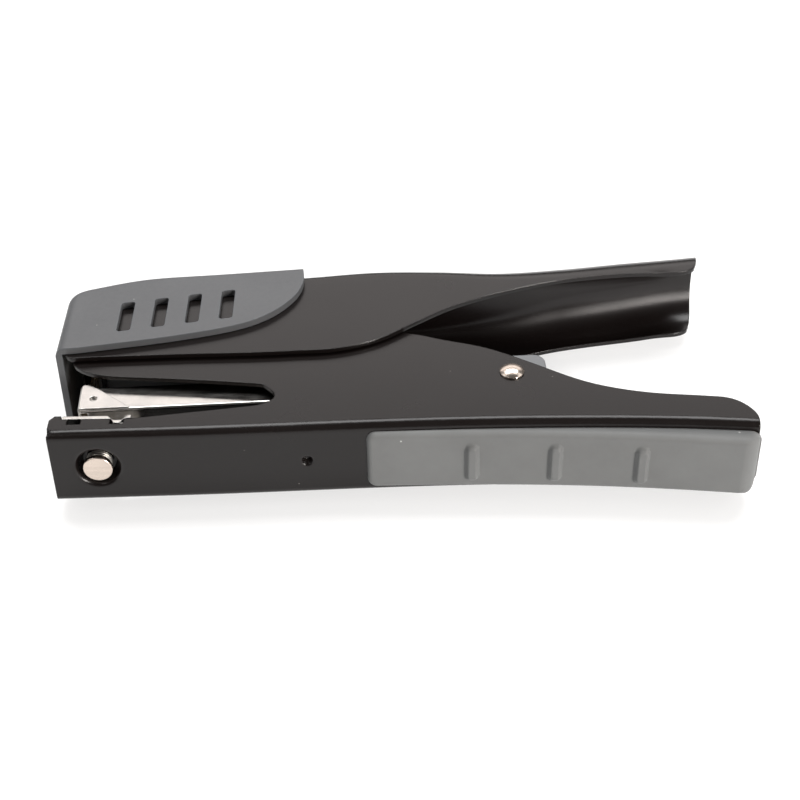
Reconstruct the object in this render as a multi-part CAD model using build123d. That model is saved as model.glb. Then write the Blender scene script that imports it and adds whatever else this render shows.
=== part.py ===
"""Plier stapler: a U-shaped lower handle with the anvil, and an upper handle hinged at the nose that
presses a driver lever through the magazine.  Millimetres.

The tool is drawn in side view: X runs from the nose to the handle ends, Y from the base of the lower
handle to the upper handle, and Z across the width, with the middle plane at Z = 0.  `save` then moves
each piece into the row frame, where the tool lies on its side with its bounding box centred on the
origin and its lower side at Z = 0.
"""
from build123d import *
from math import cos, radians, sin
import os

# ---- driving dimensions -------------------------------------------------------------------------
NOSE_X = -80.0            # front of the lower handle
END_X = 81.15             # rear end of the lower handle's sheet metal
FRAME_HALF = 10.1         # half width of the lower handle, outside
FRAME_SHEET = 1.0
FRAME_BEND = 1.9          # outer radius between the web and the side plates
# underside of the lower handle: flat at the nose, gently arched under the palm
BASE = ((NOSE_X, -0.3), (-40.0, 0.5), (-5.0, 1.7), (22.0, 2.1), (45.0, 1.75), (67.0, 0.7), (END_X, -0.55))

UPPER_HALF = 11.65        # half width of the upper handle, outside
UPPER_SHEET = 1.1
CAP_WALL = 1.8
CAP_FRONT_WALL = 1.6
CAP_HALF = UPPER_HALF + CAP_WALL

TOP_Y = 74.03             # highest point of the upper handle
BOTTOM_Y = -4.35          # lowest point of the grip pad
PAD_END_X = 81.95         # rear of the grip pad; the cap's front face is as far forward

PIVOT = (26.4, 20.2)      # rear rivet: magazine and driver lever swing on it
PIVOT_R = 2.0
HINGE = (-72.0, 38.0)     # nose pin: the upper handle swings on it
HINGE_R = 2.0
RUNNING = 0.05            # radial clearance of a turning fit

MAGAZINE_TILT = 2.75      # degrees, nose low, at rest
MAGAZINE_HALF = 7.4
MAGAZINE_SHEET = 0.75
MAGAZINE_FLOOR = -3.65    # outer face of the magazine's floor, below the pivot
MAGAZINE_NOSE = -101.45   # front face of the nose shoe, ahead of the pivot
SHOE_SHEET = 0.6

LEVER_HALF = 8.4
LEVER_SHEET = 0.85
BLADE_X = -99.65          # middle of the driver blade, ahead of the pivot
BLADE_SHEET = 0.5
BLADE_FOOT = 4.4          # blade's lower edge at rest, above the pivot

STAPLE_CROWN_HALF = 6.4   # half the crown of a 24/6 staple
STAPLE_WIRE = 0.6
STAPLE_TOP = 3.65         # top of the crowns, above the pivot
STRIP_FRONT = -99.3
STRIP_LENGTH = 25.5

ANVIL_AXIS_X = -69.4      # push button, spring and stem under the anvil
ANVIL_SEAT_Y = 5.4        # top edge of the jaw, which the anvil plate sits on
ANVIL_SHEET = 1.0
DISH_DEPTH = 3.4
BUTTON_R = 3.4

RIBS = ((16.2, 0.45), (35.7, -0.4), (55.3, -1.85))    # grip pad ridges: X, height of the pad's face
RIB_LENGTH, RIB_WIDTH = 10.4, 3.0

SLOT_COUNT = 4            # slots in each side of the nose cap
SLOT_PITCH = 8.11
SLOT_WIDTH, SLOT_HEIGHT = 3.3, 12.0
SLOT_FIRST = (-66.45, 40.75)
SLOT_RISE = 0.184         # climb of the row of slots, and of each slot's ends, towards the rear


# ---- helpers ------------------------------------------------------------------------------------
def slab(profile, low_z, high_z):
    """A side-view face made solid between two depths."""
    return Pos(0, 0, low_z) * extrude(profile, high_z - low_z, dir=(0, 0, 1))


def block(x0, x1, y0, y1, z0, z1):
    """A box between two corners."""
    return Pos((x0 + x1) / 2, (y0 + y1) / 2, (z0 + z1) / 2) * Box(x1 - x0, y1 - y0, z1 - z0)


def post(x, y, radius, low_z, high_z):
    """A round bar across the tool."""
    return Pos(x, y, (low_z + high_z) / 2) * Cylinder(radius, high_z - low_z)


def column(x, low_y, high_y, radius, z=0.0):
    """A round bar that stands along Y."""
    return Pos(x, (low_y + high_y) / 2, z) * Rot(90, 0, 0) * Cylinder(radius, high_y - low_y)


def both_sides(piece):
    """The piece and its mirror image on the other side of the middle plane."""
    return piece + mirror(piece, about=Plane.XY)


def outline(*curves):
    """A face bounded by curves that follow on from each other."""
    return make_face([edge for curve in curves for edge in curve.edges()])


def coil(turns, pitch, mean_radius, wire):
    """A helical wire along +Z, starting at Z = 0."""
    path = Helix(pitch=pitch, height=turns * pitch, radius=mean_radius)
    section = Plane(origin=path @ 0, z_dir=path % 0) * Circle(wire / 2)
    return sweep(section, path=path, is_frenet=True)


def on_magazine(piece):
    """Turns a piece drawn about the pivot, with a level floor, to the magazine's rest angle."""
    return Pos(*PIVOT, 0) * Rot(0, 0, MAGAZINE_TILT) * piece


def along_magazine(x, y):
    """Side-view position of a point given in the magazine's own axes."""
    c, s = cos(radians(MAGAZINE_TILT)), sin(radians(MAGAZINE_TILT))
    return PIVOT[0] + x * c - y * s, PIVOT[1] + x * s + y * c


def ring(solid, x, high_y, low_size, high_size):
    """The round edges about the column at X that lie below high_y and are of a given width."""
    found = []
    for edge in solid.edges():
        box = edge.bounding_box()
        centred = abs(box.center().X - x) < 0.3 and abs(box.center().Z) < 0.3 and box.center().Y < high_y
        if centred and low_size < box.size.X < high_size and low_size < box.size.Z < high_size:
            found.append(edge)
    return found


def save(name, piece):
    """Moves a piece into the row frame and writes its STEP file."""
    placed = Pos(0, -(TOP_Y + BOTTOM_Y) / 2, CAP_HALF) * piece
    export_step(Compound(children=[Solid(s.wrapped) for s in placed.solids()]), f"parts/{name}.step")


# ---- lower handle -------------------------------------------------------------------------------
def base_line(rise=0.0, front=NOSE_X, rear=END_X):
    """The underside of the lower handle in side view, raised by `rise`."""
    points = ((front, BASE[0][1]),) + BASE[1:-1] + ((rear, BASE[-1][1]),)
    return Spline([(x, y + rise) for x, y in points], tangents=((1, 0.02), (1, -0.1)))


def frame_profile():
    """Side plate: jaw, throat, upper arm with the hinge eye, and the tapering rear handle."""
    eye_r = 6.0
    throat_floor = Polyline(BASE[0], (NOSE_X, 5.0), (-78.9, 6.5), (-77.4, 6.5), (-77.4, ANVIL_SEAT_Y),
                            (-61.1, ANVIL_SEAT_Y), (-34.6, 9.1))
    throat_end = Spline((-34.6, 9.1), (-30.9, 10.3), (-29.0, 12.8), (-30.9, 16.1), (-36.0, 17.8),
                        tangents=((1, 0.137), (-1, 0.13)))
    arm_edge = Spline((-36.0, 17.8), (-51.5, 19.6), (-65.8, 20.9), (-72.5, 22.3), (-77.7, 27.0),
                      tangents=((-1, 0.13), (-0.15, 1)))
    arm_front = Line((-77.7, 27.0), (HINGE[0] - eye_r, HINGE[1]))
    eye = ThreePointArc((HINGE[0] - eye_r, HINGE[1]),
                        (HINGE[0] - eye_r * sin(radians(45)), HINGE[1] + eye_r * sin(radians(45))),
                        (HINGE[0], HINGE[1] + eye_r))
    arm_top = Line((HINGE[0], HINGE[1] + eye_r), (0.0, 36.8))
    back = Spline((0.0, 36.8), (9.9, 33.7), (19.4, 30.5), (26.9, 26.5), (35.5, 20.9), (43.0, 16.3),
                  (51.0, 13.2), (60.0, 11.2), (68.0, 10.3), (73.0, 9.7), tangents=((1, -0.12), (1, -0.12)))
    heel = Spline((73.0, 9.7), (78.2, 7.4), (80.9, 3.2), BASE[-1], tangents=((1, -0.12), (0, -1)))
    return outline(throat_floor, throat_end, arm_edge, arm_front, eye, arm_top, back, heel, base_line())


def frame_inside():
    """The open space of the channel: behind the folded front wall, and above the web."""
    front, rear = NOSE_X + FRAME_SHEET, END_X + 0.01
    floor = base_line(FRAME_SHEET, front, rear)
    rim = Polyline((front, BASE[0][1] + FRAME_SHEET), (front, 6.6), (NOSE_X - 5, 6.6), (NOSE_X - 5, 60),
                   (rear, 60), (rear, BASE[-1][1] + FRAME_SHEET))
    return outline(rim, floor)


def round_bends(solid, radius, low_y, high_y):
    """Rounds the long lower edges of a channel, where the sheet is bent."""
    edges = [e for e in solid.edges()
             if abs(abs(e.center().Z) - FRAME_HALF) < 0.01 and low_y < e.center().Y < high_y
             and e.bounding_box().size.X > 30]
    return fillet(edges, radius)


def lower_handle():
    body = round_bends(slab(frame_profile(), -FRAME_HALF, FRAME_HALF), FRAME_BEND, -3, 4)
    inner = FRAME_HALF - FRAME_SHEET
    body -= slab(frame_inside(), -inner, inner)
    # dished seat of the anvil button, pressed inwards from below
    bowl_r, bowl_floor_r, lip_r, mouth_y = 5.3, 4.0, 6.4, -0.5
    bowl = Pos(ANVIL_AXIS_X, (mouth_y + DISH_DEPTH) / 2, 0) * Rot(-90, 0, 0) * Cone(
        bowl_r, bowl_floor_r, DISH_DEPTH - mouth_y)
    shell = Pos(ANVIL_AXIS_X, (0.3 + DISH_DEPTH + FRAME_SHEET) / 2, 0) * Rot(-90, 0, 0) * Cone(
        lip_r, bowl_floor_r + 0.9, DISH_DEPTH + FRAME_SHEET - 0.3)
    shell = fillet(shell.edges().sort_by(Axis.Y)[-1], 0.8)
    body = body + shell - bowl
    body = fillet(ring(body, ANVIL_AXIS_X, 0.3, 2 * bowl_r - 1.0, 2 * bowl_r + 1.0), 1.25)
    body -= column(ANVIL_AXIS_X, DISH_DEPTH - 1, DISH_DEPTH + 2, 1.9)
    # locating dimple of the magazine spring
    dimple_x, dimple_r, dimple_depth = -21.5, 2.0, 1.5
    web_y = 1.2
    body += Pos(dimple_x, web_y + 1.0, 0) * Rot(-90, 0, 0) * Cone(dimple_r + 0.6, 0.9, 2.0)
    body -= Pos(dimple_x, web_y - 0.5 + dimple_depth / 2, 0) * Rot(-90, 0, 0) * Cone(
        dimple_r, 0.4, dimple_depth + 1.0)
    body = fillet(ring(body, dimple_x, web_y + 0.2, 2.4, 4.6), 0.5)
    # notches that the anvil's locating bends drop into, in both of its positions
    for x in (ANVIL_AXIS_X - 4.9, ANVIL_AXIS_X + 4.9):
        body -= block(x - 1.6, x + 1.6, ANVIL_SEAT_Y - 1.9, ANVIL_SEAT_Y + 1, -15, 15)
    # corner reliefs of the folded front wall
    for z in (-FRAME_HALF, FRAME_HALF):
        body -= Pos(NOSE_X, 0.9, z) * Sphere(1.0)
    body -= post(*PIVOT, PIVOT_R, -15, 15)
    body -= post(*HINGE, HINGE_R, -15, 15)
    # slots in the web that the grip pad's studs snap through
    for x in (5.0, 65.0):
        body -= column(x, -3, 5, 2.0)
    return body


def grip_pad():
    """Rubber pad under the rear handle, thickest at the rear, with finger ridges and snap studs."""
    half, front = 8.0, -7.8
    lower = Spline((front, 0.95), (18.0, 0.4), (46.0, -1.1), (64.0, -2.75), (77.4, BOTTOM_Y),
                   tangents=((1, 0.0), (1, 0.0)))
    heel = Spline((77.4, BOTTOM_Y), (80.9, -2.6), (PAD_END_X, 1.8), tangents=((1, 0.0), (0, 1)))
    rim = Polyline((PAD_END_X, 1.8), (PAD_END_X, 2.4), (END_X, 2.4), (END_X, 6), (front, 6), (front, 0.95))
    pad = slab(outline(lower, heel, rim), -half, half)
    long_edges = [e for e in pad.edges()
                  if abs(abs(e.center().Z) - half) < 0.01 and e.center().Y < 2 and e.length > 3]
    pad = fillet(long_edges, 1.1)
    above = outline(base_line(), Polyline(BASE[0], (NOSE_X, 20), (END_X, 20), BASE[-1]))
    pad -= slab(above, -20, 20)
    for x, face_y in RIBS:
        ridge = Pos(x, face_y + 0.4, 0) * Rot(90, 0, 0) * extrude(RectangleRounded(RIB_WIDTH, RIB_LENGTH, 1.2), 1.3)
        pad += fillet(ridge.edges().group_by(Axis.Y)[0], 0.7)
    for x, shoulder_y in ((5.0, 3.05), (65.0, 2.1)):
        pad += column(x, shoulder_y - 1.6, shoulder_y + 0.1, 1.95) + column(x, shoulder_y, shoulder_y + 1.2, 2.6)
    return pad


def round_head(x, y, z_face, radius, height, side):
    """A low domed rivet head standing on the face at z_face."""
    sphere_r = (radius * radius + height * height) / (2 * height)
    dome = Pos(x, y, z_face - (sphere_r - height)) * Sphere(sphere_r)
    dome &= Pos(x, y, z_face + height) * Cylinder(radius + 1, 2 * height)
    return dome if side > 0 else mirror(dome, about=Plane.XY)


def rear_rivet():
    x, y = PIVOT
    rivet = post(x, y, PIVOT_R, -FRAME_HALF, FRAME_HALF)
    for side in (-1, 1):
        flange = post(x, y, 2.9, FRAME_HALF, FRAME_HALF + 0.35)
        rivet += flange if side > 0 else mirror(flange, about=Plane.XY)
        rivet += round_head(x, y, FRAME_HALF + 0.35, 2.9, 1.1, side)
    return rivet


def pivot_bush():
    """Tube on the rivet that keeps the magazine's lugs apart and carries the spring coils."""
    reach = MAGAZINE_HALF - MAGAZINE_SHEET - 0.1
    return post(*PIVOT, 2.6, -reach, reach) - post(*PIVOT, PIVOT_R, -10, 10)


def return_spring():
    """Double torsion spring: its front legs lift the driver lever, its rear legs stand on the web."""
    wire, mean_r, turns = 0.85, 3.2, 2.5
    pitch = wire + 0.08
    low_z = 3.7
    winding = Pos(*PIVOT, low_z) * Rot(0, 0, 90) * coil(turns, pitch, mean_r, wire)
    start = Vector(PIVOT[0], PIVOT[1] + mean_r, low_z)
    end = Vector(PIVOT[0], PIVOT[1] - mean_r, low_z + turns * pitch)

    def leg(a, b):
        path = Line(a, b)
        return sweep(Plane(origin=a, z_dir=b - a) * Circle(wire / 2), path=path)

    front_tip = Vector(6.0, 32.0, low_z)
    rear_tip = Vector(44.0, 3.4, low_z + turns * pitch)
    one = winding + leg(start, front_tip) + leg(end, rear_tip)
    one += Pos(*start) * Sphere(wire / 2) + Pos(*end) * Sphere(wire / 2)
    return both_sides(one)


def hinge_pin():
    """Nose pin of the upper handle, flush with the handle's walls under the cap."""
    pin = post(*HINGE, HINGE_R, -UPPER_HALF, UPPER_HALF)
    return chamfer(pin.edges().filter_by(GeomType.CIRCLE), 0.3)


def hinge_washers():
    gap = 0.03
    washer = post(*HINGE, 4.2, FRAME_HALF, UPPER_HALF - UPPER_SHEET - gap) - post(*HINGE, HINGE_R, 0, 20)
    return both_sides(washer)


# ---- anvil --------------------------------------------------------------------------------------
def anvil_plate():
    """Clinching plate across the jaw, with two forming grooves and a locating bend."""
    low, high = ANVIL_SEAT_Y, ANVIL_SEAT_Y + ANVIL_SHEET
    dip_x, drop, run = ANVIL_AXIS_X + 4.9, 1.5, 0.9
    front, rear = -77.2, -61.5
    profile = Polyline(
        (front, low), (dip_x - 1.0 - run / 2, low), (dip_x - 0.7, low - drop), (dip_x + 0.7, low - drop),
        (dip_x + 1.0 + run / 2, low), (rear - 1.4, low + 0.12), (rear, low + 0.3), (rear, high + 0.3),
        (rear - 1.4, high + 0.12), (dip_x + 1.9 + run / 2, high), (dip_x + 0.9, high - drop),
        (dip_x - 0.9, high - drop), (dip_x - 1.9 - run / 2, high), (front + 0.4, high),
        (front, high - 0.4), close=True)
    plate = slab(make_face(profile), -FRAME_HALF, FRAME_HALF)
    for z in (-3.3, 3.3):                 # clinching grooves, where the legs are turned over
        groove = Pos(-74.6, high + 0.35, z) * Rot(0, 90, 0) * Cylinder(0.8, 1.7)
        plate -= groove
    for z in (-3.1, 3.1):                 # pinning grooves of the other position
        plate -= Pos(-67.4, high + 0.55, z) * Rot(0, 90, 0) * Cylinder(0.8, 1.7)
    plate -= column(ANVIL_AXIS_X, low - 3, high + 3, 1.1)
    return plate


def anvil_stem():
    """Stem from the plate down to the button, with a shoulder under the plate."""
    stem = column(ANVIL_AXIS_X, 0.6, ANVIL_SEAT_Y, 1.5)
    stem += column(ANVIL_AXIS_X, ANVIL_SEAT_Y, ANVIL_SEAT_Y + ANVIL_SHEET, 1.1)
    return stem


def anvil_button():
    """Disc under the web that is pushed to free the anvil."""
    disc = column(ANVIL_AXIS_X, -0.6, 0.6, BUTTON_R)
    return fillet(disc.edges().filter_by(GeomType.CIRCLE), 0.3)


def anvil_spring():
    wire, low, high = 0.5, 0.9, DISH_DEPTH - 0.3
    turns = 3.5
    winding = coil(turns, (high - low) / turns, 2.9, wire)
    return Pos(ANVIL_AXIS_X, low, 0) * Rot(-90, 0, 0) * winding


# ---- magazine, drawn about the pivot with a level floor ------------------------------------------
def magazine_channel():
    """Outer channel that holds the staples, with rear lugs on the rivet."""
    front, wall_top = MAGAZINE_NOSE + SHOE_SHEET, 4.6
    floor_end, lug_r = -7.0, 4.6
    side = outline(
        Polyline((0, lug_r), (-9, lug_r), (-14, wall_top), (front, wall_top), (front, MAGAZINE_FLOOR),
                 (floor_end, MAGAZINE_FLOOR), (-3.5, -lug_r), (0, -lug_r)),
        ThreePointArc((0, -lug_r), (lug_r, 0), (0, lug_r)))
    inner = MAGAZINE_HALF - MAGAZINE_SHEET
    body = slab(side, -MAGAZINE_HALF, MAGAZINE_HALF)
    body -= block(front - 1, 20, MAGAZINE_FLOOR + MAGAZINE_SHEET, 20, -inner, inner)
    body -= block(floor_end, 20, -20, 20, -inner, inner)
    body -= block(front - 1, STRIP_FRONT, -10, 0, -inner, inner)      # staple exit at the nose
    body -= post(0, 0, PIVOT_R + RUNNING, -20, 20)
    bends = [e for e in body.edges() if abs(abs(e.center().Z) - MAGAZINE_HALF) < 0.01
             and abs(e.center().Y - MAGAZINE_FLOOR) < 0.01 and e.length > 40]
    return on_magazine(fillet(bends, 0.7))


def nose_shoe():
    """Reinforced nose: a front plate and two pierced cheeks folded over the channel."""
    outer = MAGAZINE_HALF + SHOE_SHEET
    top = 5.35
    cheek = make_face(Polyline((MAGAZINE_NOSE, MAGAZINE_FLOOR), (MAGAZINE_NOSE, top - 0.8),
                               (MAGAZINE_NOSE + 0.8, top), (-99.4, top), (-97.2, 3.6), (-89.6, MAGAZINE_FLOOR),
                               close=True))
    shoe = slab(cheek, -outer, outer)
    vertical = [e for e in shoe.edges() if abs(abs(e.center().Z) - outer) < 0.01
                and abs(e.center().X - MAGAZINE_NOSE) < 0.01 and e.length > 5]
    shoe = fillet(vertical, 0.55)
    shoe -= block(MAGAZINE_NOSE + SHOE_SHEET, -80, -20, 20, -MAGAZINE_HALF, MAGAZINE_HALF)
    shoe -= post(-98.1, 0.0, 0.9, -20, 20)
    return on_magazine(shoe)


def staple_rail():
    """Inner core that the staples straddle; its top slot guides the pusher."""
    half, wall = STAPLE_CROWN_HALF - STAPLE_WIRE - 0.1, 0.7
    top, floor = STAPLE_TOP - STAPLE_WIRE - 0.05, MAGAZINE_FLOOR + MAGAZINE_SHEET
    front, rear = STRIP_FRONT + 0.2, -10.0
    rail = block(front, rear, floor, top, -half, half)
    rail -= block(front + 0.8, rear - 1.0, floor - 1, top - wall, -half + wall, half - wall)
    rail -= block(-72.5, rear - 1.0, top - 2, top + 1, -1.4, 1.4)
    rail -= Pos((front + rear) / 2, 0.2, 0) * Rot(0, 90, 0) * Cylinder(0.85, 120)
    return on_magazine(rail)


def staple_strip():
    """A glued strip of staples on the rail."""
    floor = MAGAZINE_FLOOR + MAGAZINE_SHEET
    rear = STRIP_FRONT + STRIP_LENGTH
    leg = STAPLE_CROWN_HALF - STAPLE_WIRE
    strip = block(STRIP_FRONT, rear, floor + 0.05, STAPLE_TOP, -STAPLE_CROWN_HALF, STAPLE_CROWN_HALF)
    strip -= block(STRIP_FRONT - 1, rear + 1, floor - 1, STAPLE_TOP - STAPLE_WIRE, -leg, leg)
    return on_magazine(strip)


def guide_rod():
    """Thin rod inside the rail that carries the pusher spring."""
    front, rear = STRIP_FRONT + 0.2, -8.6
    rod = Pos((front + rear) / 2, 0.2, 0) * Rot(0, 90, 0) * Cylinder(0.8, rear - front)
    rod += Pos(rear - 0.7, 0.2, 0) * Rot(0, 90, 0) * Cylinder(1.4, 1.4)
    return on_magazine(rod)


def magazine_spring():
    """Coil that stands on the web's dimple and holds the magazine off the anvil."""
    wire, low, high, turns = 0.6, 2.75, 13.75, 7.0
    winding = coil(turns, (high - low) / turns, 2.5, wire)
    return Pos(-21.5, low, 0) * Rot(-90, 0, 0) * winding


# ---- follower: pusher, pull strip and knob --------------------------------------------------------
PUSHER_FRONT = STRIP_FRONT + STRIP_LENGTH + 0.05
PUSHER_LENGTH = 11.0


def pusher():
    """Block that rides over the rail behind the staples, with a keel on the guide rod."""
    half = MAGAZINE_HALF - MAGAZINE_SHEET - 0.1
    rail_half = STAPLE_CROWN_HALF - STAPLE_WIRE
    floor = MAGAZINE_FLOOR + MAGAZINE_SHEET + 0.1
    rear = PUSHER_FRONT + PUSHER_LENGTH
    body = block(PUSHER_FRONT, rear, floor, 4.35, -half, half)
    body -= block(PUSHER_FRONT - 1, rear + 1, -20, STAPLE_TOP - STAPLE_WIRE, -rail_half, rail_half)
    body += block(PUSHER_FRONT + 4, rear - 2, -1.2, STAPLE_TOP - STAPLE_WIRE, -1.2, 1.2)
    body -= Pos(PUSHER_FRONT, 0.2, 0) * Rot(0, 90, 0) * Cylinder(0.8 + RUNNING, 60)
    return on_magazine(body)


def pull_strip():
    """Flat strip from the pusher back over the rivet to the knob."""
    strip = block(PUSHER_FRONT + 2, 5.0, 4.35, 5.15, -2.6, 2.6)
    strip -= Pos(PUSHER_FRONT + 5, 4.75, 0) * Rot(90, 0, 0) * Cylinder(0.9, 3)
    return on_magazine(strip)


def strip_rivet():
    """Small rivet that fastens the strip to the pusher."""
    x = PUSHER_FRONT + 5
    rivet = column(x, 4.35, 5.15, 0.9) + column(x, 5.15, 5.65, 1.6)
    return on_magazine(rivet)


def pull_knob():
    """Finger knob behind the rivet that draws the pusher back for loading."""
    side = outline(
        Polyline((-1.8, 5.15), (-1.8, 11.2), (-0.8, 12.2), (6.4, 12.2)),
        ThreePointArc((6.4, 12.2), (8.45, 11.35), (9.3, 9.3)),
        Polyline((9.3, 9.3), (9.3, -0.6), (8.3, -1.6), (6.6, -1.6), (5.6, -0.6), (5.6, 5.15), (-1.8, 5.15)))
    knob = slab(side, -5.9, 5.9)
    rim = [e for e in knob.edges() if abs(abs(e.center().Z) - 5.9) < 0.01]
    return on_magazine(fillet(rim, 0.6))


def pusher_spring():
    """Long soft coil on the guide rod, from the rail's rear wall to the pusher's keel."""
    wire, front, rear, turns = 0.4, PUSHER_FRONT + PUSHER_LENGTH - 1.75, -11.3, 26
    winding = coil(turns, (rear - front) / turns, 1.6, wire)
    return on_magazine(Pos(front, 0.2, 0) * Rot(0, 90, 0) * winding)


# ---- driver lever ---------------------------------------------------------------------------------
LEVER_NOSE_X = along_magazine(BLADE_X + BLADE_SHEET / 2, 0)[0]


def driver_lever():
    """Inverted channel from the rivet to the nose; the blade hangs from its folded front."""
    front = -73.1
    eye_r = 5.6
    top = Spline((front, 34.7), (-33.0, 36.0), (0.0, 34.6), (10.0, 32.8), (19.0, 29.6), (24.5, 25.6))
    side = outline(
        top,
        Polyline((24.5, 25.6), (PIVOT[0] + 1.5, PIVOT[1] + 5.4)),
        ThreePointArc((PIVOT[0] + 1.5, PIVOT[1] + 5.4), (PIVOT[0] + eye_r, PIVOT[1]), (PIVOT[0], PIVOT[1] - eye_r)),
        Polyline((PIVOT[0], PIVOT[1] - eye_r), (19.0, 15.6), (-2.0, 24.5), (-30.0, 28.4), (front, 29.3),
                 (front, 34.7)))
    inner = LEVER_HALF - LEVER_SHEET
    body = slab(side, -LEVER_HALF, LEVER_HALF)
    crown = [e for e in body.edges() if abs(abs(e.center().Z) - LEVER_HALF) < 0.01
             and e.bounding_box().size.X > 60 and e.center().Y > 31]
    body = fillet(crown, 1.2)
    hollow_top = Spline((front + LEVER_SHEET, 34.7 - LEVER_SHEET), (-33.0, 36.0 - LEVER_SHEET),
                        (0.0, 34.6 - LEVER_SHEET), (12.0, 32.2 - LEVER_SHEET))
    hollow = outline(hollow_top, Polyline((12.0, 32.2 - LEVER_SHEET), (12.0, 60), (50, 60), (50, 0),
                                          (front + LEVER_SHEET, 0), (front + LEVER_SHEET, 34.7 - LEVER_SHEET)))
    body -= slab(hollow, -inner, inner)
    body -= post(*PIVOT, PIVOT_R + RUNNING, -20, 20)
    for z in (-3.2, 3.2):
        body -= Pos(front, 32.0, z) * Rot(0, 90, 0) * Cylinder(0.8, 4)
    return body


def driver_blade():
    """Hardened blade that drives the front staple."""
    front = -73.1
    foot_y = along_magazine(BLADE_X, BLADE_FOOT)[1]
    blade = block(front - BLADE_SHEET, front, foot_y, 34.2, -6.3, 6.3)
    for z in (-3.2, 3.2):
        blade -= Pos(front, 32.0, z) * Rot(0, 90, 0) * Cylinder(0.8, 4)
    return blade


def blade_rivets():
    front = -73.1
    pair = None
    for z in (-3.2, 3.2):
        rivet = Pos(front + 0.175, 32.0, z) * Rot(0, 90, 0) * Cylinder(0.8, LEVER_SHEET + BLADE_SHEET)
        rivet += Pos(front - BLADE_SHEET - 0.2, 32.0, z) * Rot(0, 90, 0) * Cylinder(1.4, 0.4)
        rivet += Pos(front + LEVER_SHEET + 0.2, 32.0, z) * Rot(0, 90, 0) * Cylinder(1.4, 0.4)
        pair = rivet if pair is None else pair + rivet
    return pair


# ---- upper handle ---------------------------------------------------------------------------------
# Stations along the handle: X, height of the crown, shoulder radius, extra flare of the rim.
UPPER_STATIONS = (
    (-80.0, 52.6, 3.0, 0.0), (-62.0, 56.7, 3.2, 0.0), (-42.0, 59.2, 3.3, 0.0), (-22.0, 61.2, 3.5, 0.0),
    (-6.0, 63.1, 3.8, 0.0), (10.0, 63.6, 4.9, 0.0), (26.0, 64.4, 7.4, -0.1), (42.0, 67.6, 9.7, -0.3),
    (58.0, 70.7, 10.2, -0.65), (72.0, 73.2, 9.9, -1.35), (78.0, TOP_Y + 0.07, 9.9, -1.4))


def arch(x, crown, radius, half, inset):
    """Cross-section of the upper handle at X: an inverted U, `inset` inside its outer skin."""
    half, crown, radius = half - inset, crown - inset, radius - inset
    with_plane = Plane(origin=(x, 0, 0), x_dir=(0, 0, 1), z_dir=(-1, 0, 0))
    turn = radius * sin(radians(45))
    edges = [
        Line((-half, 0), (-half, crown - radius)),
        ThreePointArc((-half, crown - radius), (-half + radius - turn, crown - radius + turn),
                      (-half + radius, crown)),
        Line((-half + radius, crown), (half - radius, crown)),
        ThreePointArc((half - radius, crown), (half - radius + turn, crown - radius + turn),
                      (half, crown - radius)),
        Line((half, crown - radius), (half, 0)),
        Line((half, 0), (-half, 0)),
    ]
    return with_plane * make_face(edges)


def upper_solid(inset, stations=UPPER_STATIONS):
    return loft([arch(x, crown, radius, UPPER_HALF + flare, inset) for x, crown, radius, flare in stations])


def upper_profile():
    """Side view of the upper handle: deep walls at the front that sweep up into the palm rest."""
    front_x, corner_x = -80.0, -71.5
    front = Polyline((corner_x, 80), (corner_x, 54.0), (-76.5, 51.3), (-79.0, 48.0), (front_x, 44.0),
                     (front_x, 28.4), (-78.3, 26.5), (-54.5, 27.3), (-26.0, 27.9))
    sweep_up = Spline((-26.0, 27.9), (-14.0, 28.9), (-5.0, 32.2), (4.2, 38.8), (12.5, 44.7), (20.9, 49.1),
                      (30.0, 52.8), (39.3, 55.8), (48.0, 57.6), (60.0, 59.3), (72.1, 60.5),
                      tangents=((1, 0.02), (1, 0.09)))
    rear = Spline((72.1, 60.5), (74.9, 61.6), (76.2, 63.7), (77.0, 67.3), (77.9, 80),
                  tangents=((1, 0.09), (0.08, 1)))
    return outline(front, sweep_up, rear, Line((77.9, 80), (corner_x, 80)))


def upper_handle():
    shell = upper_solid(0) - upper_solid(UPPER_SHEET)
    shell &= slab(upper_profile(), -30, 30)
    shell -= post(*HINGE, HINGE_R + RUNNING, -20, 20)
    return shell


def cap_profile():
    """Side view of the nose cap's outer block."""
    front = -PAD_END_X
    corner = 6.0
    top = Spline((front + corner, 54.6), (-65.0, 57.9), (-50.0, 59.6), (-35.0, 60.9), (-15.0, 62.8),
                 tangents=((1, 0.32), (1, 0.1)))
    bend = Spline((front, 48.0), (front + 1.4, 52.1), (front + corner, 54.6), tangents=((0, 1), (1, 0.32)))
    return outline(bend, top, Polyline((-15.0, 62.8), (-15.0, 20), (front, 20), (front, 48.0)))


def cap_trim():
    """Side view of the cap's lower and rear edge."""
    lower = Spline((-79.2, 28.0), (-71.3, 29.2), (-59.6, 31.3), (-47.9, 33.9), (-40.8, 36.0), (-33.2, 39.8),
                   (-27.9, 45.0), (-24.6, 50.9), (-23.6, 56.6), (-24.2, 62.6),
                   tangents=((1, 0.08), (-0.1, 1)))
    rim = Polyline((-24.2, 62.6), (-24.2, 70), (-90, 70), (-90, 28.0), (-79.2, 28.0))
    return outline(lower, rim)


def nose_cap():
    """Plastic cap over the nose, with four slots in each side."""
    block_ = slab(cap_profile(), -CAP_HALF, CAP_HALF)
    edges = [e for e in block_.edges() if abs(abs(e.center().Z) - CAP_HALF) < 0.01 and e.center().Y > 30
             and e.center().X < -20]
    block_ = fillet(edges, 2.6)
    cap = block_ & slab(cap_trim(), -30, 30)
    cap -= upper_solid(-0.04) & slab(upper_profile(), -30, 30)
    cap -= block(-PAD_END_X + CAP_FRONT_WALL, -60, 20, 44, -UPPER_HALF, UPPER_HALF)
    return cap - vent_slots()


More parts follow.
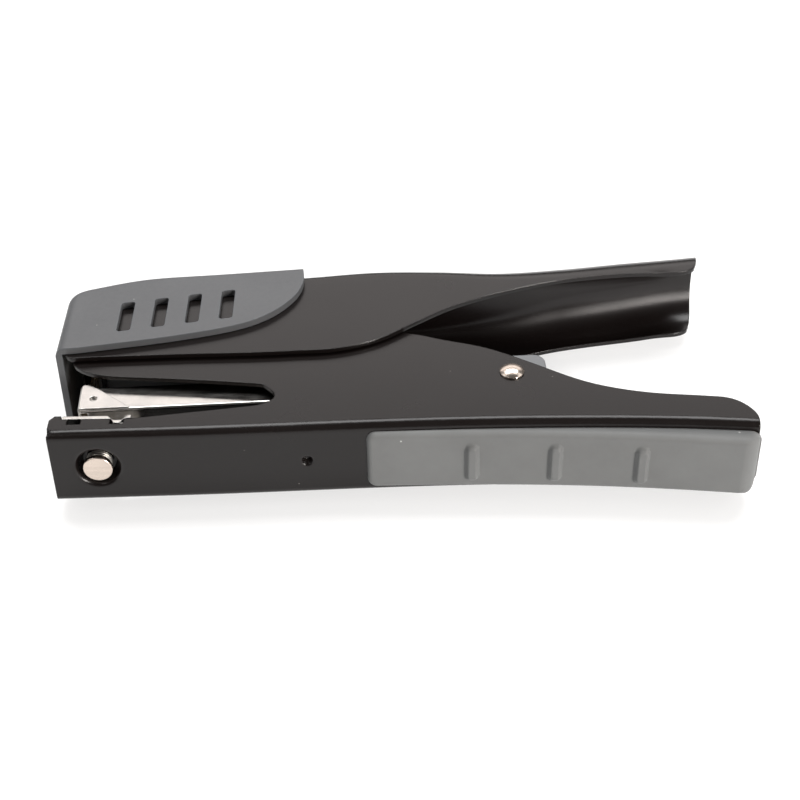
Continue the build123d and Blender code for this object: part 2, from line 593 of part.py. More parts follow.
def slot_outline():
    """One slot about its middle: upright sides, and ends that climb towards the rear."""
    right, up = SLOT_WIDTH / 2, SLOT_HEIGHT / 2
    climb = right * SLOT_RISE
    corners = ((-right, -up - climb), (right, -up + climb), (right, up + climb), (-right, up - climb))
    shape = make_face(Polyline(*corners, close=True))
    return fillet(shape.vertices(), 0.8)


def vent_slots():
    """Cutters for the row of slots through both side walls of the cap."""
    cutters = Part()
    for index in range(SLOT_COUNT):
        x = SLOT_FIRST[0] + index * SLOT_PITCH
        y = SLOT_FIRST[1] + index * SLOT_PITCH * SLOT_RISE
        cutters += both_sides(Pos(x, y, 0) * slab(slot_outline(), UPPER_HALF - 0.5, CAP_HALF + 1))
    return cutters


def press_bracket():
    """Folded bracket under the upper handle that presses the driver lever."""
    left, right, foot, sheet, half = -37.0, -29.0, 36.35, 1.2, 6.6
    head = 58.5
    legs = outline(Polyline((left, foot + 4), (left, head), (right, head), (right, foot + 4)),
                   ThreePointArc((right, foot + 4), ((left + right) / 2, foot), (left, foot + 4)))
    body = slab(legs, -half, half)
    body -= block(left - 1, right + 1, 0, head - sheet, -half + sheet, half - sheet)
    ears = block(left - 3, left, head - sheet, head, -half, half)
    ears += block(right, right + 3, head - sheet, head, -half, half)
    return (body + ears) & upper_solid(UPPER_SHEET)


PIECES = {
    "lower_handle": lower_handle, "grip_pad": grip_pad, "rear_rivet": rear_rivet, "pivot_bush": pivot_bush,
    "return_spring": return_spring, "hinge_pin": hinge_pin, "hinge_washers": hinge_washers,
    "anvil_plate": anvil_plate, "anvil_stem": anvil_stem, "anvil_button": anvil_button,
    "anvil_spring": anvil_spring, "magazine_channel": magazine_channel, "nose_shoe": nose_shoe,
    "staple_rail": staple_rail, "staple_strip": staple_strip, "guide_rod": guide_rod,
    "magazine_spring": magazine_spring, "pusher": pusher, "pull_strip": pull_strip,
    "strip_rivet": strip_rivet, "pull_knob": pull_knob, "pusher_spring": pusher_spring,
    "driver_lever": driver_lever, "driver_blade": driver_blade, "blade_rivets": blade_rivets,
    "upper_handle": upper_handle, "nose_cap": nose_cap, "press_bracket": press_bracket,
}

os.makedirs("parts", exist_ok=True)
for name, make in PIECES.items():
    save(name, make())
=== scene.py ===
"""Looks of the plier stapler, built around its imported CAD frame.  Metres, in the row frame."""
import math
import random

import bmesh
import bpy
from mathutils import Matrix, Vector


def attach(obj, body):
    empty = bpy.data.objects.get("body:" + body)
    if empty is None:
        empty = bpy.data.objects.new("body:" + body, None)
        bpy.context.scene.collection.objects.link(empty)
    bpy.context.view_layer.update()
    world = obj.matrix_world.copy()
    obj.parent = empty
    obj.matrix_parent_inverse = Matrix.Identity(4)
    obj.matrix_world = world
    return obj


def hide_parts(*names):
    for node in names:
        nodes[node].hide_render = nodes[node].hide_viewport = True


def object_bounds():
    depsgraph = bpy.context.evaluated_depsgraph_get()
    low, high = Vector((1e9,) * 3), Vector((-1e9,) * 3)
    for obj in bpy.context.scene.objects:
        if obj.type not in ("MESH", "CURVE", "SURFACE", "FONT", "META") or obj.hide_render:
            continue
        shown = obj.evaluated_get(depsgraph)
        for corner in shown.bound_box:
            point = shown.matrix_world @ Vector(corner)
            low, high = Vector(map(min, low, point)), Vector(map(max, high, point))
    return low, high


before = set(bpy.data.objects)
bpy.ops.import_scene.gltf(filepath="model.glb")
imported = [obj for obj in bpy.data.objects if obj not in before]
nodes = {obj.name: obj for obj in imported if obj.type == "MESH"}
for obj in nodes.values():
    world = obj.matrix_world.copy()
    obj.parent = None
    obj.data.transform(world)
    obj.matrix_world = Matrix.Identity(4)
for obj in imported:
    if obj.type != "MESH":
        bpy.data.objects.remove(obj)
cad_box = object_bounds()
MM = 0.001

VIEW_ELEVATION, VIEW_ROLL = 38.5, 1.0                # degrees
VIEW_TARGET, VIEW_DISTANCE = (0.0, -0.02451, 0.02355), 0.36824
SENSOR, LENS = 36.0, 72.0
CLIP_NEAR, CLIP_FAR = 0.02, 20.0
LIGHT_AIM = (0, 0, 0.01)
ROOM_COLOUR, ROOM_STRENGTH = (1.0, 0.985, 0.97, 1.0), 0.09
FLOOR_HALF, FLOOR_DROP, FLOOR_GLOW = 3.0, 0.00002, 0.62


# ---- camera, lights and stage ---------------------------------------------------------------------
def add_camera():
    """The main view, from the lower handle's side and above."""
    elevation, roll = math.radians(VIEW_ELEVATION), math.radians(VIEW_ROLL)
    target = Vector(VIEW_TARGET)
    ahead = Vector((0.0, math.cos(elevation), -math.sin(elevation)))
    right = Vector((1.0, 0.0, 0.0))
    up = right.cross(ahead)
    right, up = (right * math.cos(roll) - up * math.sin(roll),
                 up * math.cos(roll) + right * math.sin(roll))
    data = bpy.data.cameras.new("camera")
    data.sensor_width, data.lens = SENSOR, LENS
    data.clip_start, data.clip_end = CLIP_NEAR, CLIP_FAR
    camera = bpy.data.objects.new("camera", data)
    rotation = Matrix((right, up, -ahead)).transposed().to_4x4()
    camera.matrix_world = Matrix.Translation(target - ahead * VIEW_DISTANCE) @ rotation
    bpy.context.scene.collection.objects.link(camera)
    bpy.context.scene.camera = camera


def add_area(name, place, size, power, colour):
    data = bpy.data.lights.new(name, "AREA")
    data.shape = "RECTANGLE"
    data.size, data.size_y = size
    data.energy = power
    data.color = colour
    lamp = bpy.data.objects.new(name, data)
    lamp.location = place
    lamp.rotation_mode = "QUATERNION"
    lamp.rotation_quaternion = (Vector(LIGHT_AIM) - Vector(place)).to_track_quat("-Z", "Y")
    bpy.context.scene.collection.objects.link(lamp)


def panel(name, azimuth, elevation, distance, size, radiance, colour=(1.0, 1.0, 1.0)):
    """A soft box that faces the tool; azimuth 0 is behind it (+Y), and 90 is to its right (+X)."""
    turn, lift = math.radians(azimuth), math.radians(elevation)
    place = (distance * math.sin(turn) * math.cos(lift), distance * math.cos(turn) * math.cos(lift),
             distance * math.sin(lift))
    add_area(name, place, size, radiance * math.pi * size[0] * size[1], colour)


def add_lights():
    world = bpy.data.worlds.new("studio")
    bpy.context.scene.world = world
    world.use_nodes = True
    background = world.node_tree.nodes["Background"]
    background.inputs["Color"].default_value = ROOM_COLOUR
    background.inputs["Strength"].default_value = ROOM_STRENGTH
    panel("overhead", 0, 72, 0.85, (0.95, 0.36), 8.0)
    panel("back", 0, 31, 0.95, (1.5, 0.42), 1.75, (1.0, 0.95, 0.93))
    panel("left", -95, 38, 0.80, (0.5, 0.4), 1.9)
    panel("right", 95, 38, 0.80, (0.5, 0.4), 1.5)
    panel("front_left", -142, 46, 0.85, (0.16, 0.16), 4.5, (1.0, 0.96, 0.92))
    panel("front_right", 138, 20, 0.85, (0.13, 0.36), 52.0, (1.0, 0.95, 0.91))
    view = bpy.context.scene.view_settings
    view.view_transform = "Standard"
    view.look = "None"


def add_floor():
    mesh = bpy.data.meshes.new("floor")
    half = FLOOR_HALF
    corners = [(-half, -half, 0), (half, -half, 0), (half, half, 0), (-half, half, 0)]
    mesh.from_pydata(corners, [], [(0, 1, 2, 3)])
    floor = bpy.data.objects.new("floor", mesh)
    floor.location.z = -FLOOR_DROP
    bpy.context.scene.collection.objects.link(floor)
    s = Shader("floor_acrylic")
    s.colour(s.ramp(s.noise(6.0, 2.0), ((0.3, (0.40, 0.40, 0.398)), (0.7, (0.42, 0.42, 0.418)))))
    s.set(roughness=0.6, specular=0.2)
    s.principled.inputs["Emission Color"].default_value = (1.0, 1.0, 1.0, 1.0)
    s.principled.inputs["Emission Strength"].default_value = FLOOR_GLOW
    mesh.materials.append(s.material)


# ---- materials ------------------------------------------------------------------------------------
class Shader:
    """A procedural material on one principled shader."""

    def __init__(self, name):
        self.material = bpy.data.materials.new(name)
        self.material.use_nodes = True
        self.tree = self.material.node_tree
        self.tree.nodes.clear()
        self.output = self.tree.nodes.new("ShaderNodeOutputMaterial")
        self.principled = self.tree.nodes.new("ShaderNodeBsdfPrincipled")
        self.link(self.principled.outputs["BSDF"], self.output.inputs["Surface"])
        self.place = self.tree.nodes.new("ShaderNodeTexCoord").outputs["Object"]

    def link(self, source, target):
        self.tree.links.new(source, target)

    def node(self, kind, inputs=(), **properties):
        made = self.tree.nodes.new(kind)
        for name, value in properties.items():
            setattr(made, name, value)
        for name, value in dict(inputs).items():
            if isinstance(value, bpy.types.NodeSocket):
                self.link(value, made.inputs[name])
            else:
                made.inputs[name].default_value = value
        return made

    def stretched(self, scale):
        mapping = self.node("ShaderNodeMapping", {"Vector": self.place, "Scale": scale})
        return mapping.outputs["Vector"]

    def noise(self, scale, detail=3.0, roughness=0.55, vector=None):
        inputs = {"Vector": vector or self.place, "Scale": scale, "Detail": detail,
                  "Roughness": roughness}
        return self.node("ShaderNodeTexNoise", inputs).outputs["Fac"]

    def ramp(self, value, stops):
        made = self.node("ShaderNodeValToRGB", {"Fac": value})
        elements = made.color_ramp.elements
        while len(elements) < len(stops):
            elements.new(0.5)
        for element, (position, colour) in zip(elements, stops):
            element.position = position
            element.color = (*(colour if hasattr(colour, "__len__") else (colour,) * 3), 1.0)
        return made.outputs["Color"]

    def math(self, operation, a, b):
        made = self.node("ShaderNodeMath", operation=operation)
        for socket, value in zip(made.inputs, (a, b)):
            if isinstance(value, bpy.types.NodeSocket):
                self.link(value, socket)
            else:
                socket.default_value = value
        return made.outputs["Value"]

    def mix(self, amount, a, b):
        made = self.node("ShaderNodeMix", data_type="RGBA")
        sockets = {socket.identifier: socket for socket in made.inputs}
        for name, value in (("Factor_Float", amount), ("A_Color", a), ("B_Color", b)):
            if isinstance(value, bpy.types.NodeSocket):
                self.link(value, sockets[name])
            else:
                sockets[name].default_value = (*value, 1.0) if hasattr(value, "__len__") else value
        return [socket for socket in made.outputs if socket.identifier == "Result_Color"][0]

    def bump(self, height, strength, distance, normal=None):
        inputs = {"Height": height, "Strength": strength, "Distance": distance}
        if normal is not None:
            inputs["Normal"] = normal
        return self.node("ShaderNodeBump", inputs).outputs["Normal"]

    def bevel(self, radius):
        return self.node("ShaderNodeBevel", {"Radius": radius}, samples=6).outputs["Normal"]

    def edges(self, radius):
        """1 along the piece's sharp edges, 0 on its faces."""
        low, high = 0.02, 0.25
        geometry = self.node("ShaderNodeNewGeometry").outputs["Normal"]
        dot = self.node("ShaderNodeVectorMath", {0: self.bevel(radius), 1: geometry},
                        operation="DOT_PRODUCT")
        bend = self.math("SUBTRACT", 1.0, dot.outputs["Value"])
        return self.ramp(bend, ((low, 0.0), (high, 1.0)))

    def specks(self, scale, radius, chance):
        """Sparse round specks: 1 in a speck, 0 outside."""
        cell = self.node("ShaderNodeTexVoronoi", {"Vector": self.place, "Scale": scale}, feature="F1")
        near = self.math("LESS_THAN", cell.outputs["Distance"], radius)
        split = self.node("ShaderNodeSeparateColor", {"Color": cell.outputs["Color"]})
        lucky = self.math("LESS_THAN", split.outputs["Red"], chance)
        return self.math("MULTIPLY", near, lucky)

    def colour(self, source):
        self.link(source, self.principled.inputs["Base Color"])

    def rough(self, source):
        self.link(source, self.principled.inputs["Roughness"])

    def normal(self, source):
        self.link(source, self.principled.inputs["Normal"])

    def set(self, roughness=None, specular=None, metallic=None, sheen=None, sheen_roughness=None):
        names = {"Roughness": roughness, "Specular IOR Level": specular, "Metallic": metallic,
                 "Sheen Weight": sheen, "Sheen Roughness": sheen_roughness}
        for name, value in names.items():
            if value is not None:
                self.principled.inputs[name].default_value = value


BARE_METAL = (0.30, 0.28, 0.26)
METAL_GRAIN = (40.0, 900.0, 900.0)


def paint_material():
    """Satin black paint on pressed sheet, with orange peel, dust and worn edges."""
    s = Shader("black_paint")
    cloud = s.noise(45.0, 3.0)
    base = s.ramp(cloud, ((0.3, (0.0052, 0.0036, 0.0033)), (0.7, (0.0060, 0.0044, 0.0041))))
    dust = s.specks(420.0, 0.07, 0.022)
    base = s.mix(s.math("MULTIPLY", dust, 0.25), base, BARE_METAL)
    edge = s.edges(0.35 * MM)
    patches = s.ramp(s.noise(900.0, 4.0, 0.7), ((0.60, 0.0), (0.70, 1.0)))
    chips = s.math("MULTIPLY", edge, patches)
    base = s.mix(s.math("MULTIPLY", chips, 0.35), base, BARE_METAL)
    s.colour(base)
    s.rough(s.ramp(s.noise(60.0, 3.0, 0.5), ((0.25, 0.24), (0.75, 0.28))))
    peel = s.noise(1500.0, 1.0, 0.4)
    s.normal(s.bump(peel, 0.035, 0.05 * MM, s.bevel(0.5 * MM)))
    s.set(specular=0.34)
    return s.material


def cap_material():
    """Moulded blue-grey plastic with a fine spark-eroded texture, and a painted lighter highlight
    along its edges.
    """
    s = Shader("cap_plastic")
    cloud = s.noise(60.0, 3.0)
    base = s.ramp(cloud, ((0.3, (0.078, 0.080, 0.084)), (0.7, (0.088, 0.090, 0.094))))
    # Painted highlight: a lighter blue-grey mixed in along every edge of the cap, standing in for edge
    # sheen.
    edge = s.edges(0.9 * MM)
    base = s.mix(s.math("MULTIPLY", edge, 0.25), base, (0.13, 0.15, 0.17))
    dust = s.specks(520.0, 0.10, 0.03)
    s.colour(s.mix(s.math("MULTIPLY", dust, 0.4), base, (0.40, 0.40, 0.39)))
    s.rough(s.ramp(s.noise(900.0, 2.0), ((0.3, 0.44), (0.7, 0.54))))
    grain = s.noise(2600.0, 3.0, 0.6)
    s.normal(s.bump(grain, 0.25, 0.04 * MM, s.bevel(0.3 * MM)))
    s.set(specular=0.40)
    return s.material


def rubber_material():
    """Soft matt grey rubber, slightly dusty."""
    s = Shader("grip_rubber")
    cloud = s.noise(70.0, 4.0)
    base = s.ramp(cloud, ((0.3, (0.124, 0.127, 0.126)), (0.7, (0.140, 0.144, 0.143))))
    dust = s.specks(380.0, 0.10, 0.05)
    s.colour(s.mix(s.math("MULTIPLY", dust, 0.5), base, (0.65, 0.65, 0.63)))
    s.rough(s.ramp(s.noise(500.0, 3.0), ((0.3, 0.58), (0.7, 0.70))))
    s.normal(s.bump(s.noise(3200.0, 2.0), 0.22, 0.03 * MM))
    s.set(specular=0.35, sheen=0.10, sheen_roughness=0.5)
    return s.material


def metal_material(name, light, dark, roughness, strength=0.12, edge=0.25):
    """Plated metal with a directional grain."""
    s = Shader(name)
    streak = s.noise(1.0, 5.0, 0.65, s.stretched(METAL_GRAIN))
    cloud = s.noise(90.0, 3.0)
    blend = s.math("ADD", s.math("MULTIPLY", streak, 0.6), s.math("MULTIPLY", cloud, 0.4))
    s.colour(s.ramp(blend, ((0.35, dark), (0.65, light))))
    wear = s.math("ADD", s.math("MULTIPLY", streak, 0.5), s.math("MULTIPLY", s.noise(260.0), 0.5))
    s.rough(s.ramp(wear, ((0.3, max(roughness - 0.07, 0.05)), (0.7, roughness + 0.09))))
    s.normal(s.bump(streak, strength, 0.02 * MM, s.bevel(edge * MM)))
    s.set(metallic=1.0)
    return s.material


def plain_plastic(name, light, dark, roughness=0.4):
    s = Shader(name)
    s.colour(s.ramp(s.noise(140.0, 3.0), ((0.3, dark), (0.7, light))))
    s.rough(s.ramp(s.noise(700.0), ((0.3, roughness - 0.05), (0.7, roughness + 0.08))))
    s.normal(s.bump(s.noise(1800.0), 0.15, 0.03 * MM, s.bevel(0.2 * MM)))
    s.set(specular=0.45)
    return s.material


# ---- mesh pieces ----------------------------------------------------------------------------------
HALF_HEIGHT = cad_box[1][1]          # the tool's box is centred in X and Y
CROWN_TOP = 74.03                    # that height in millimetres above the lower handle's base line
SIDE_PLANE = cad_box[1][2] / 2       # height of the tool's middle plane


def place(x, y, z):
    """A point in the row frame, from millimetres along, up from the base line and off the middle."""
    return Vector((x * MM, HALF_HEIGHT + (y - CROWN_TOP) * MM, SIDE_PLANE + z * MM))


def curve_through(points):
    """A smooth function through points (position, value, ...), as a cubic with limited slopes."""
    xs = [point[0] for point in points]
    rows = [point[1:] for point in points]
    count = len(xs)

    def slope(index, column):
        if index in (0, count - 1):
            a, b = (0, 1) if index == 0 else (count - 2, count - 1)
            return (rows[b][column] - rows[a][column]) / (xs[b] - xs[a])
        before, after = xs[index] - xs[index - 1], xs[index + 1] - xs[index]
        left = (rows[index][column] - rows[index - 1][column]) / before
        right = (rows[index + 1][column] - rows[index][column]) / after
        return (left * after + right * before) / (before + after)

    def at(x):
        x = min(max(x, xs[0]), xs[-1])
        index = min(next((i for i in range(count - 1) if x <= xs[i + 1]), count - 2), count - 2)
        width = xs[index + 1] - xs[index]
        t = (x - xs[index]) / width
        values = []
        for column in range(len(rows[0])):
            a, b = rows[index][column], rows[index + 1][column]
            m, n = slope(index, column) * width, slope(index + 1, column) * width
            values.append(a + m * t + (3 * (b - a) - 2 * m - n) * t ** 2
                          + (2 * (a - b) + m + n) * t ** 3)
        return values
    return at


def smooth_step(value, low, high):
    t = min(max((value - low) / (high - low), 0.0), 1.0)
    return t * t * (3 - 2 * t)


def grid_mesh(name, rows, wrap=False):
    """A mesh of quads from rows of points that all have the same length."""
    mesh = bpy.data.meshes.new(name)
    width = len(rows[0])
    faces = []
    for i in range(len(rows) - 1):
        for j in range(width if wrap else width - 1):
            k = (j + 1) % width
            faces.append((i * width + j, i * width + k, (i + 1) * width + k, (i + 1) * width + j))
    mesh.from_pydata([tuple(point) for row in rows for point in row], [], faces)
    return mesh


def add_piece(name, mesh, body, replaced, material):
    piece = bpy.data.objects.new(name, mesh)
    bpy.context.scene.collection.objects.link(piece)
    mesh.materials.append(material)
    for polygon in mesh.polygons:
        polygon.use_smooth = True
    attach(piece, body)
    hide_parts(replaced)
    return piece


def modifier(piece, kind, **properties):
    made = piece.modifiers.new(kind.lower(), kind)
    for name, value in properties.items():
        setattr(made, name, value)


# Upper handle: position, crown height, shoulder radius, half width.
HANDLE_SECTIONS = (
    (-80.0, 52.6, 3.0, 11.65), (-62.0, 56.7, 3.2, 11.65), (-42.0, 59.2, 3.3, 11.65),
    (-22.0, 61.2, 3.5, 11.65), (-6.0, 63.1, 3.8, 11.65), (10.0, 63.6, 4.9, 11.65),
    (26.0, 64.4, 7.4, 11.55), (42.0, 67.6, 9.7, 11.35), (58.0, 70.7, 10.2, 11.0),
    (72.0, 73.2, 9.9, 10.3), (78.0, 74.1, 9.9, 10.25))
# Lower rim of its walls, and the rear end's setback from the crown's tip at each height.
HANDLE_RIM = (
    (-80.0, 28.4), (-78.3, 26.5), (-76.0, 26.6), (-54.5, 27.3), (-26.0, 27.9), (-14.0, 28.9),
    (-5.0, 32.2), (4.2, 38.8), (12.5, 44.7), (20.9, 49.1), (30.0, 52.8), (39.3, 55.8),
    (48.0, 57.6), (60.0, 59.3), (72.1, 60.5))
HANDLE_END = ((60.5, -5.3), (61.0, -3.6), (61.6, -2.5), (63.7, -1.2), (67.3, -0.4), (74.0, 0.0))
HANDLE_FRONT, HANDLE_TIP, HANDLE_SHEET = -79.9, 77.4, 1.1
HANDLE_COLUMNS, WALL_ROWS, ARC_ROWS, CROWN_ROWS = 150, 14, 12, 8
WALL_SPACING = 1.5                   # above 1 packs the rows towards the rim
TAPER_START = 60.0                   # where the rear end's setback begins
RIM_ROUND, RIM_SEGMENTS, RIM_ANGLE = 0.5, 4, 50
NOSE_CROWN = ((-80.0, 44.0), (-79.0, 47.9), (-76.5, 51.2), (-71.5, 54.2), (-66.0, 56.0))


def handle_shell(material):
    """Pressed shell of the upper handle: deep flat walls at the nose that round into the palm rest."""
    section, rim = curve_through(HANDLE_SECTIONS), curve_through(HANDLE_RIM)
    end, nose = curve_through(HANDLE_END), curve_through(NOSE_CROWN)
    rows = []
    for i in range(HANDLE_COLUMNS + 1):
        x = HANDLE_FRONT + (HANDLE_TIP - HANDLE_FRONT) * i / HANDLE_COLUMNS
        crown, radius, half = section(x)
        if x < NOSE_CROWN[-1][0]:
            crown = nose(x)[0]
        rear = smooth_step(x, TAPER_START, HANDLE_TIP)
        foot = rim(x + end(HANDLE_END[0][0])[0] * rear)[0]
        side = [(half, foot + (crown - radius - foot) * (j / WALL_ROWS) ** WALL_SPACING)
                for j in range(WALL_ROWS)]
        for j in range(ARC_ROWS + 1):
            turn = math.radians(90 * j / ARC_ROWS)
            side.append((half - radius + radius * math.cos(turn),
                         crown - radius + radius * math.sin(turn)))
        flat = half - radius
        middle = [(flat * (1 - 2 * j / CROWN_ROWS), crown) for j in range(1, CROWN_ROWS)]
        points = side + middle + [(-z, y) for z, y in reversed(side)]
        rows.append([place(x + end(y)[0] * rear, y, z) for z, y in points])
    shell = add_piece("upper_shell", grid_mesh("upper_shell", rows), "upper",
                      "upper_handle", material)
    modifier(shell, "SOLIDIFY", thickness=HANDLE_SHEET * MM, offset=1.0, use_even_offset=True)
    modifier(shell, "BEVEL", width=RIM_ROUND * MM, segments=RIM_SEGMENTS, limit_method="ANGLE",
             angle_limit=math.radians(RIM_ANGLE))
    modifier(shell, "WEIGHTED_NORMAL", keep_sharp=True)


# Grip pad: position, height of its lower face; the seat under the web; its ends.
PAD_FACE = ((-7.8, 0.4), (18.0, 0.2), (46.0, -1.1), (64.0, -2.75), (77.4, -4.35))
PAD_SEAT = ((-7.8, 1.7), (22.0, 2.1), (45.0, 1.75), (67.0, 0.7), (81.9, -0.4))
PAD_FRONT, PAD_REAR, PAD_HALF, PAD_EDGE = -7.8, 81.9, 8.0, 1.3
PAD_CORNER, FRONT_CORNER, REAR_CORNER = 2.2, 1.4, 3.0
HEEL_LENGTH, HEEL_EXTRA, HEEL_POWER = 4.6, 1.6, 2.4
PAD_CLOSE = 0.02                     # least thickness of the pad's border
FINE_STEP, COARSE_STEP, ACROSS_STEPS = 0.22, 0.7, 24
NEAR_RIB, NEAR_FRONT, NEAR_REAR = 2.6, 2.2, 5.5
RIBS = (16.3, 35.3, 54.9)
RIB_HALF_LENGTH, RIB_HALF_WIDTH, RIB_HEIGHT, RIB_CORNER, RIB_SHIFT = 5.3, 1.6, 1.15, 1.4, -0.5
RIB_TOP_FROM, RIB_FOOT_AT = -0.85, 0.12


def rounded_distance(along, across, half_along, half_across, corner):
    """How far a point lies outside a rounded rectangle; negative inside."""
    a, b = abs(along) - half_along + corner, abs(across) - half_across + corner
    return math.hypot(max(a, 0.0), max(b, 0.0)) + min(max(a, b), 0.0) - corner


def corner_cut(distance, radius):
    """How much a rounded plan corner takes off the half width, at a distance from the end."""
    if distance >= radius:
        return 0.0
    return radius - math.sqrt(max(radius ** 2 - (radius - distance) ** 2, 0.0))


def pad_depth(x, z):
    """Height of the pad's lower face, with its rounded border, rounded heel and ribs."""
    face = curve_through(PAD_FACE)(x)[0]
    middle, half = (PAD_FRONT + PAD_REAR) / 2, (PAD_REAR - PAD_FRONT) / 2
    inside = -rounded_distance(x - middle, z, half, PAD_HALF, PAD_CORNER)
    lift = 0.0
    if inside < PAD_EDGE:
        lift = PAD_EDGE - math.sqrt(max(PAD_EDGE ** 2 - (PAD_EDGE - inside) ** 2, 0.0))
    if x > PAD_REAR - HEEL_LENGTH:
        reach = min((x - PAD_REAR + HEEL_LENGTH) / HEEL_LENGTH, 1.0)
        rise = 1 - math.sqrt(max(1 - reach ** HEEL_POWER, 0.0))
        lift = max(lift, (HEEL_LENGTH + HEEL_EXTRA) * rise + 0.5 * lift)
    rib = 0.0
    for rib_x in RIBS:
        out = rounded_distance(x - rib_x, z - RIB_SHIFT, RIB_HALF_WIDTH, RIB_HALF_LENGTH, RIB_CORNER)
        rib = max(rib, RIB_HEIGHT * (1 - smooth_step(out, RIB_TOP_FROM, RIB_FOOT_AT)))
    return face + lift - rib


def grip_cover(material):
    """Moulded rubber pad: a fine skin over the lower face, closed against the handle's web."""
    seat = curve_through(PAD_SEAT)
    xs, x = [], PAD_FRONT
    while x < PAD_REAR - 0.001:
        xs.append(x)
        near_rib = min(abs(x - rib) for rib in RIBS) < NEAR_RIB
        near_end = x < PAD_FRONT + NEAR_FRONT or x > PAD_REAR - NEAR_REAR
        x += FINE_STEP if near_rib or near_end else COARSE_STEP
    xs.append(PAD_REAR)
    rows = []
    for x in xs:
        half = (PAD_HALF - corner_cut(x - PAD_FRONT, FRONT_CORNER)
                - corner_cut(PAD_REAR - x, REAR_CORNER))
        zs = [half * math.sin(math.radians(90 * k / ACROSS_STEPS))
              for k in range(-ACROSS_STEPS, ACROSS_STEPS + 1)]
        top = seat(x)[0]
        shown = [place(x, min(pad_depth(x, z), top - PAD_CLOSE), z) for z in zs]
        rows.append([place(x, top, -half)] + shown + [place(x, top, half)])
    mesh = grid_mesh("grip_cover", rows, wrap=True)
    build = bmesh.new()
    build.from_mesh(mesh)
    bmesh.ops.holes_fill(build, edges=[edge for edge in build.edges if edge.is_boundary])
    bmesh.ops.recalc_face_normals(build, faces=build.faces)
    build.to_mesh(mesh)
    build.free()
    add_piece("grip_cover", mesh, "frame", "grip_pad", material)


# Staple strip: crown half width, wire and height, in the magazine's own tilted axes about the rivet.
PIVOT_X, PIVOT_Y, TILT = 26.4, 20.2, math.radians(2.75)
STRIP_FRONT, STAPLE_COUNT, STAPLE_PITCH, STAPLE_TOP, STAPLE_FOOT = -99.3, 48, 0.53, 3.65, -2.85
CROWN_HALF, WIRE = 6.4, 0.5
STAPLE_BEND, BEND_STEPS, WIRE_SIDES, LIFT_SPREAD = 0.7, 4, 8, 0.03
WIRE_LONG, WIRE_THICK, WIRE_SQUARE = 0.9, 1.05, 1.25


def on_magazine(x, y, z):
    return place(PIVOT_X + x * math.cos(TILT) - y * math.sin(TILT),
                 PIVOT_Y + x * math.sin(TILT) + y * math.cos(TILT), z)


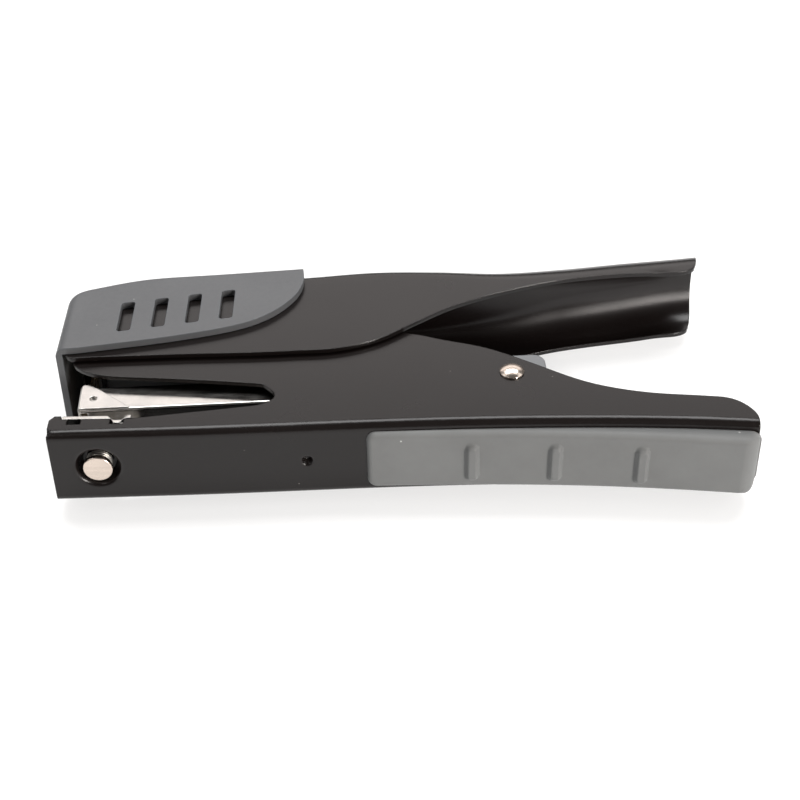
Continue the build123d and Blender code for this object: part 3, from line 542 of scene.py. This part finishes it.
def staples(material):
    """A glued strip of separate wire staples that straddle the rail."""
    chance = random.Random(7)
    outer = CROWN_HALF - WIRE / 2
    turns = [math.radians(90 * step / BEND_STEPS) for step in range(BEND_STEPS + 1)]
    left = [(-outer + STAPLE_BEND * (1 - math.cos(turn)),
             STAPLE_TOP - WIRE / 2 - STAPLE_BEND * (1 - math.sin(turn))) for turn in turns]
    right = [(-z, y) for z, y in reversed(left)]
    path = [(-outer, STAPLE_FOOT)] + left + right + [(outer, STAPLE_FOOT)]
    build = bmesh.new()
    for index in range(STAPLE_COUNT):
        along = STRIP_FRONT + STAPLE_PITCH * (index + 0.5)
        lift = chance.uniform(-LIFT_SPREAD, LIFT_SPREAD)
        rings = []
        for k, (z, y) in enumerate(path):
            before, after = path[max(k - 1, 0)], path[min(k + 1, len(path) - 1)]
            dz, dy = after[0] - before[0], after[1] - before[1]
            size = math.hypot(dz, dy)
            out_z, out_y = -dy / size, dz / size
            ring = []
            for corner in range(WIRE_SIDES):
                turn = math.radians(360 * (corner + 0.5) / WIRE_SIDES)
                a, b = (ratio * WIRE / 2 * math.copysign(min(abs(part) * WIRE_SQUARE, 1.0), part)
                        for ratio, part in ((WIRE_LONG, math.cos(turn)), (WIRE_THICK, math.sin(turn))))
                point = on_magazine(along + a, y + out_y * b + lift, z + out_z * b)
                ring.append(build.verts.new(point))
            rings.append(ring)
        for one, two in zip(rings, rings[1:]):
            for k in range(WIRE_SIDES):
                after = (k + 1) % WIRE_SIDES
                build.faces.new((one[k], one[after], two[after], two[k]))
        build.faces.new(rings[0][::-1])
        build.faces.new(rings[-1])
    bmesh.ops.recalc_face_normals(build, faces=build.faces)
    mesh = bpy.data.meshes.new("staples")
    build.to_mesh(mesh)
    build.free()
    add_piece("staples", mesh, "magazine", "staple_strip", material)


# ---- finishes on the pieces -----------------------------------------------------------------------
def dress():
    paint = paint_material()
    nickel = metal_material("nickel", (0.63, 0.61, 0.585), (0.51, 0.495, 0.475), 0.17, strength=0.06)
    warm = metal_material("warm_nickel", (0.70, 0.60, 0.52), (0.56, 0.48, 0.42), 0.26)
    zinc = metal_material("zinc_plate", (0.62, 0.62, 0.61), (0.48, 0.48, 0.48), 0.32)
    wire = metal_material("spring_wire", (0.52, 0.50, 0.46), (0.38, 0.36, 0.33), 0.30)
    straw = metal_material("tempered_steel", (0.60, 0.48, 0.32), (0.46, 0.36, 0.24), 0.28)
    dark_steel = metal_material("blackened_steel", (0.10, 0.10, 0.10), (0.06, 0.06, 0.06), 0.42)
    knob = plain_plastic("knob_plastic", (0.150, 0.157, 0.163), (0.135, 0.140, 0.147))
    nylon = plain_plastic("nylon", (0.62, 0.61, 0.57), (0.55, 0.54, 0.50))
    looks = {
        paint: ("lower_handle",),
        cap_material(): ("nose_cap",),
        nickel: ("magazine_channel", "nose_shoe", "anvil_plate", "anvil_stem"),
        warm: ("rear_rivet", "anvil_button", "strip_rivet", "blade_rivets"),
        zinc: ("staple_rail", "guide_rod", "pusher", "pull_strip", "hinge_pin", "pivot_bush"),
        wire: ("return_spring", "anvil_spring", "magazine_spring", "pusher_spring"),
        straw: ("driver_blade",),
        dark_steel: ("driver_lever", "press_bracket"),
        knob: ("pull_knob",),
        nylon: ("hinge_washers",),
    }
    for material, names in looks.items():
        for name in names:
            data = nodes[name].data
            data.materials.clear()
            data.materials.append(material)
    handle_shell(paint)
    staples(metal_material("staple_wire", (0.78, 0.77, 0.75), (0.60, 0.59, 0.58), 0.16, edge=0.05))
    grip_cover(rubber_material())


add_camera()
add_lights()
add_floor()
dress()
